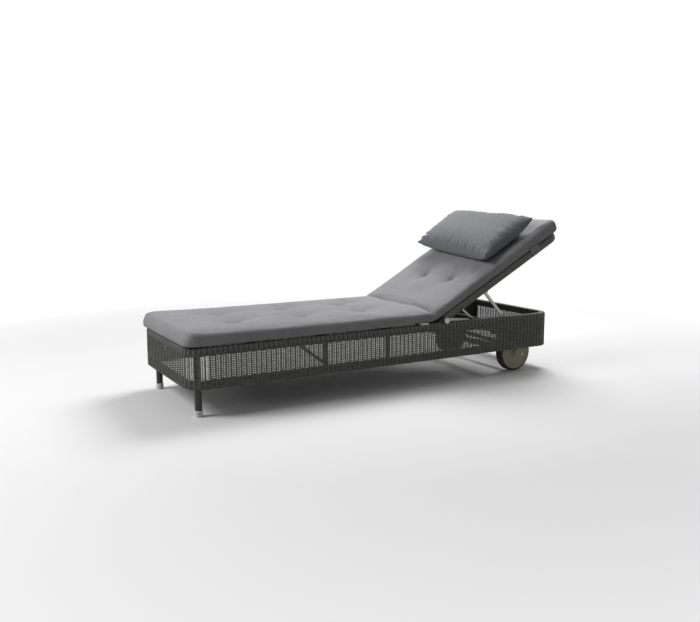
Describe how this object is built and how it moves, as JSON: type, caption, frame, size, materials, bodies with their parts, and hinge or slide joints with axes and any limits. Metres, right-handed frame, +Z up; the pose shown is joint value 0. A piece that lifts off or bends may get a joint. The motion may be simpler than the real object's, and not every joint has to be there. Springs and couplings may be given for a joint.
{
  "type": "sun lounger",
  "caption": "Woven-sided sun lounger with a reclining backrest held by a prop stay over notched racks, wheels at the head end, legs at the foot and a tufted mattress with head pillow.",
  "frame": {"origin": "on the floor, at the middle of the outer box seen from above", "axes": "+X along the lounger towards the head end, +Y across to the occupant's right, +Z up"},
  "size_m": [2.0616, 0.6706, 0.7994],
  "materials": {
    "woven_resin": "matte woven resin strand",
    "wrapped_tube": "aluminium tube wrapped in matte resin strand",
    "dark_frame": "matt dark grey powder coat",
    "pale_aluminium": "plain satin aluminium",
    "pale_plastic": "pale grey moulded plastic",
    "wheel_plastic": "olive grey moulded plastic",
    "tyre_rubber": "matt black rubber",
    "bearing_plastic": "matt black plastic",
    "bolt_steel": "plain steel",
    "mattress_fabric": "mid grey woven polyester",
    "pillow_fabric": "mid grey woven polyester",
    "strap_fabric": "grey webbing"
  },
  "bodies": {
    "base": {"axle_bearer_left": "dark_frame", "axle_bearer_right": "dark_frame", "axle_end_caps": "wheel_plastic", "axle_spacers": "bearing_plastic", "bottom_rail_foot": "dark_frame", "bottom_rail_head": "dark_frame", "bottom_rail_left": "dark_frame", "bottom_rail_right": "dark_frame", "foot_cap_left": "pale_plastic", "foot_cap_right": "pale_plastic", "hinge_pins": "pale_aluminium", "hinge_plate_left": "pale_aluminium", "hinge_plate_right": "pale_aluminium", "inner_bolts": "bolt_steel", "leg_left": "dark_frame", "leg_right": "dark_frame", "rail_pads": "pale_plastic", "seat_cross_bars": "dark_frame", "seat_cushion": "mattress_fabric", "seat_panel": "woven_resin", "stay_rack_left": "dark_frame", "stay_rack_right": "dark_frame", "top_rail_foot": "dark_frame", "top_rail_head": "dark_frame", "top_rail_left": "dark_frame", "top_rail_right": "dark_frame", "wall_braces": "dark_frame", "wall_plates": "dark_frame", "wall_posts_left": "dark_frame", "wall_posts_right": "dark_frame", "wheel_axle": "dark_frame", "wheel_beam": "dark_frame", "woven_skirt_foot": "woven_resin", "woven_skirt_head": "woven_resin", "woven_skirt_left": "woven_resin", "woven_skirt_right": "woven_resin"},
    "backrest": {"backrest_side_left": "wrapped_tube", "backrest_side_right": "wrapped_tube", "backrest_top_bar": "wrapped_tube", "backrest_cross_bars": "dark_frame", "backrest_panel": "woven_resin", "stay_lug_left": "pale_aluminium", "stay_lug_right": "pale_aluminium", "stay_pins": "bolt_steel", "curved_arm_left": "pale_aluminium", "curved_arm_right": "pale_aluminium", "tie_straps": "strap_fabric", "back_cushion": "mattress_fabric", "head_pillow": "pillow_fabric"},
    "stay": {"stay_arm_left": "pale_aluminium", "stay_arm_right": "pale_aluminium", "stay_foot_bar": "dark_frame"},
    "wheel_left": {"tyre_left": "tyre_rubber", "wheel_disc_left": "wheel_plastic", "wheel_bush_left": "wheel_plastic", "wheel_plug_left": "pale_plastic"},
    "wheel_right": {"tyre_right": "tyre_rubber", "wheel_disc_right": "wheel_plastic", "wheel_bush_right": "wheel_plastic", "wheel_plug_right": "pale_plastic"}
  },
  "joints": [
    {"name": "backrest_recline", "type": "hinge", "parent": "base", "child": "backrest", "pos_m": [0.28521, 0, 0.314], "axis": [0, -1, 0], "range_deg": [-28, 17]},
    {"name": "stay_swing", "type": "hinge", "parent": "backrest", "child": "stay", "pos_m": [0.55419, 0, 0.43437], "axis": [0, 1, 0], "range_deg": [-63.5, 38.5]},
    {"name": "wheel_left_spin", "type": "hinge", "parent": "base", "child": "wheel_left", "pos_m": [0.77321, -0.267, 0.098], "axis": [0, 1, 0], "continuous": true},
    {"name": "wheel_right_spin", "type": "hinge", "parent": "base", "child": "wheel_right", "pos_m": [0.77321, 0.267, 0.098], "axis": [0, 1, 0], "continuous": true}
  ],
  "couplings": [
    {"joint": "stay_swing", "follows": "backrest_recline", "ratio": 2.25}
  ]
}
